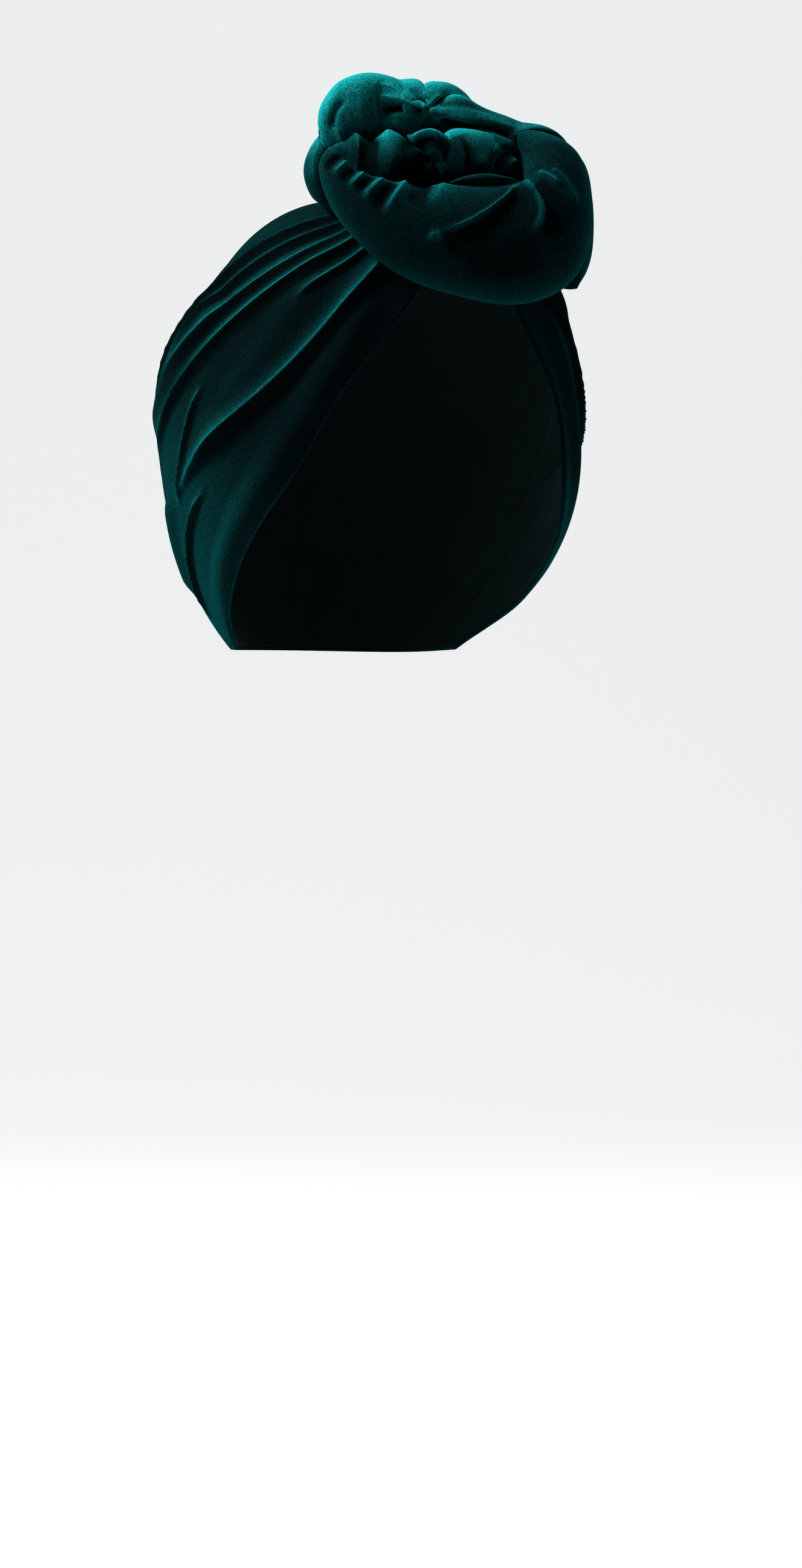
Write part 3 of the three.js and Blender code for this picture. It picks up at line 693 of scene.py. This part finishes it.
def silk_velvet():
    """Cut-pile velvet of teal viscose on a stretch ground: almost black where one looks down into
    the pile, with a painted sheen: teal painted into the base colour where the view grazes."""
    material, tree = new_material("teal_pile_velvet")
    place = add_node(tree, "ShaderNodeTexCoord").outputs["Object"]
    # the tips of the pile, drawn at about 0.9 mm because single fibres are too fine to show
    grain = add_node(tree, "ShaderNodeTexNoise", inputs={
        "Scale": 1 / (PILE_GRAIN * MM), "Detail": 3.0, "Roughness": 0.7}, links={"Vector": place})
    # patches some 14 mm across where the pile has been stroked one way or the other
    patches = add_node(tree, "ShaderNodeTexNoise", inputs={
        "Scale": 1 / (PILE_PATCH * MM), "Detail": 4.0, "Roughness": 0.6}, links={"Vector": place})
    mixed = add_node(tree, "ShaderNodeMath", {"operation": "MULTIPLY_ADD"}, {1: 0.3},
                     {0: patches.outputs["Fac"], 2: grain.outputs["Fac"]})
    colour = add_node(tree, "ShaderNodeValToRGB", links={"Fac": mixed.outputs[0]})
    colour.color_ramp.elements[0].position = 0.5
    colour.color_ramp.elements[0].color = linear("#020506")
    colour.color_ramp.elements[1].position = 0.9
    colour.color_ramp.elements[1].color = linear("#030C0D")
    # painted sheen: teal painted into the base colour as the view grazes over the surface
    grazing = add_node(tree, "ShaderNodeLayerWeight", inputs={"Blend": 0.42})
    painted_sheen_falloff = add_node(tree, "ShaderNodeMath", {"operation": "POWER"}, {1: 1.9},
                    {0: grazing.outputs["Facing"]})
    # a little of the painted sheen shows straight on too, scaled by the per-point painted light
    painted_sheen_floor = add_node(tree, "ShaderNodeMath", {"operation": "ADD"}, {1: 0.13},
                      {0: painted_sheen_falloff.outputs[0]})
    painted_light_amount = add_node(tree, "ShaderNodeAttribute", {"attribute_name": "painted_light_amount"})
    painted_sheen_scaled = add_node(tree, "ShaderNodeMath", {"operation": "MULTIPLY"},
                     links={0: painted_sheen_floor.outputs[0], 1: painted_light_amount.outputs["Fac"]})
    # the painted sheen is broken up unevenly by the grain from one tuft to the next
    uneven = add_node(tree, "ShaderNodeMath", {"operation": "MULTIPLY_ADD"}, {1: 4.0, 2: -1.0},
                      {0: grain.outputs["Fac"]})
    painted_glint = add_node(tree, "ShaderNodeMath", {"operation": "MULTIPLY", "use_clamp": True},
                     links={0: painted_sheen_scaled.outputs[0], 1: uneven.outputs[0]})
    # the painted sheen's teal, mixed into the base colour
    pile_and_painted_light = add_node(tree, "ShaderNodeMix", {"data_type": "RGBA"}, {7: linear("#0C7476")},
                    {0: painted_glint.outputs[0], 6: colour.outputs["Color"]})
    # the tufts stand a little uneven, which breaks up the light
    bump = add_node(tree, "ShaderNodeBump", inputs={"Strength": 0.8, "Distance": 0.5 * MM},
                    links={"Height": grain.outputs["Fac"]})
    shader = add_node(tree, "ShaderNodeBsdfPrincipled", inputs={
        "Roughness": 0.85, "Specular IOR Level": 0.0, "Sheen Weight": 0.1,
        "Sheen Roughness": 0.3, "Sheen Tint": linear("#0B8284")},
        links={"Base Color": pile_and_painted_light.outputs[2], "Normal": bump.outputs["Normal"]})
    add_node(tree, "ShaderNodeOutputMaterial", links={"Surface": shader.outputs["BSDF"]})
    return material


def knit_backing():
    """The velvet's wrong side: a plain dull knit ground, which shows inside the cap."""
    material, tree = new_material("teal_knit_ground")
    place = add_node(tree, "ShaderNodeTexCoord").outputs["Object"]
    # the knit's loops, as small bumps
    loops = add_node(tree, "ShaderNodeTexVoronoi", inputs={"Scale": 1 / (BACKING_LOOP * MM)},
                     links={"Vector": place})
    # slight clouding where the ground has rubbed
    wear = add_node(tree, "ShaderNodeTexNoise", inputs={
        "Scale": 1 / (BACKING_WEAR * MM), "Detail": 3.0}, links={"Vector": place})
    colour = add_node(tree, "ShaderNodeMix", {"data_type": "RGBA"},
                      {6: linear("#030D0D"), 7: linear("#051414")}, {0: wear.outputs["Fac"]})
    bump = add_node(tree, "ShaderNodeBump", inputs={"Strength": 0.4, "Distance": 0.2 * MM},
                    links={"Height": loops.outputs["Distance"]})
    shader = add_node(tree, "ShaderNodeBsdfPrincipled", inputs={
        "Roughness": 0.95, "Specular IOR Level": 0.1, "Sheen Weight": 0.15,
        "Sheen Roughness": 0.5, "Sheen Tint": linear("#3C7F7C")},
        links={"Base Color": colour.outputs[2], "Normal": bump.outputs["Normal"]})
    add_node(tree, "ShaderNodeOutputMaterial", links={"Surface": shader.outputs["BSDF"]})
    return material


def studio_paper():
    """Matt white background paper, with hardly any tooth. It glows, so that it looks as pale as
    paper that has lamps of its own."""
    material, tree = new_material("matt_white_paper")
    place = add_node(tree, "ShaderNodeTexCoord").outputs["Object"]
    tooth = add_node(tree, "ShaderNodeTexNoise", inputs={"Scale": 1 / (PAPER_TOOTH * MM)},
                     links={"Vector": place})
    bump = add_node(tree, "ShaderNodeBump", inputs={"Strength": 0.05, "Distance": 0.2 * MM},
                    links={"Height": tooth.outputs["Fac"]})
    shader = add_node(tree, "ShaderNodeBsdfPrincipled", inputs={
        "Base Color": linear("#8C8D8E"), "Roughness": 0.9, "Specular IOR Level": 0.1,
        "Emission Color": linear("#F2F3F3"), "Emission Strength": 0.72},
        links={"Normal": bump.outputs["Normal"]})
    add_node(tree, "ShaderNodeOutputMaterial", links={"Surface": shader.outputs["BSDF"]})
    return material


# ------------------------------------------------------------------ studio


def make_camera():
    """A level camera in the knot plane's direction, whose view is as high as stated at the head."""
    data = bpy.data.cameras.new("camera")
    data.sensor_width = CAMERA["sensor"]
    data.lens = CAMERA["sensor"] * CAMERA["away"] / CAMERA["view_height"]
    data.clip_end = SEEN_AS_FAR_AS * MM
    camera = bpy.data.objects.new("camera", data)
    bpy.context.scene.collection.objects.link(camera)
    place = KNOT_W * CAMERA["away"] + KNOT_U * CAMERA["aside"] + KNOT_V * CAMERA["height"]
    camera.location = Vector(place * MM)
    camera.rotation_mode = "QUATERNION"
    camera.rotation_quaternion = Vector(-KNOT_W).to_track_quat("-Z", "Y")
    bpy.context.scene.camera = camera


def make_light(name, aside, up, toward, size, watts):
    """A square soft light at a place in the knot plane's directions, aimed at the turban."""
    data = bpy.data.lights.new(name, "AREA")
    data.size = size * MM
    data.energy = watts
    light = bpy.data.objects.new(name, data)
    bpy.context.scene.collection.objects.link(light)
    place = (KNOT_U * aside + KNOT_V * up + KNOT_W * toward) * MM
    light.location = Vector(place)
    aim = Vector((EGG_MIDDLE * MM).tolist()) - light.location
    light.rotation_mode = "QUATERNION"
    light.rotation_quaternion = aim.to_track_quat("-Z", "Y")


def make_sweep(paper):
    """A paper sweep: a flat floor that bends up behind through a quarter circle."""
    bend = np.radians(np.linspace(0, 90, SWEEP["steps"]))
    back = SWEEP["back"] - SWEEP["bend"]
    depth = np.concatenate([[-SWEEP["front"]], back + SWEEP["bend"] * np.sin(bend), [SWEEP["back"]]])
    rise = np.concatenate([[0], SWEEP["bend"] * (1 - np.cos(bend)), [SWEEP["rise"]]])
    profile = -np.outer(depth, KNOT_W) + np.outer(rise + FLOOR_HEIGHT, KNOT_V)
    sides = [profile - KNOT_U * SWEEP["wide"] / 2, profile + KNOT_U * SWEEP["wide"] / 2]
    at = np.arange(2 * len(profile)).reshape(2, -1)
    sweep = make_piece("paper_sweep", np.vstack(sides), [grid_quads(at, True)], [paper])


def make_studio():
    """The camera, the paper, the soft lights and a faint light from all round."""
    make_camera()
    make_sweep(studio_paper())
    for light in LIGHTS:
        make_light(**light)
    world = bpy.data.worlds.new("soft_room")
    world.use_nodes = True
    world.node_tree.nodes["Background"].inputs["Color"].default_value = linear("#EEF0F1")
    world.node_tree.nodes["Background"].inputs["Strength"].default_value = ROOM_LIGHT
    bpy.context.scene.world = world
    bpy.context.scene.view_settings.view_transform = "Standard"


# ------------------------------------------------------------------ assembly


def place_piece(piece, node):
    """A piece rides on the one body and shows in place of its node."""
    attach(piece, "root")
    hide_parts(node)


def make_turban():
    """The cap, then the rolls in order, each lying against the ones before it."""
    velvet, backing = silk_velvet(), knit_backing()
    cap = make_cap(velvet, backing)
    place_piece(cap, "cap")
    taken = []
    for number, name in enumerate(ROLLS):
        roll, shape = make_roll(name, number, taken, velvet)
        taken.append(shape)
        place_piece(roll, name)


make_studio()
make_turban()
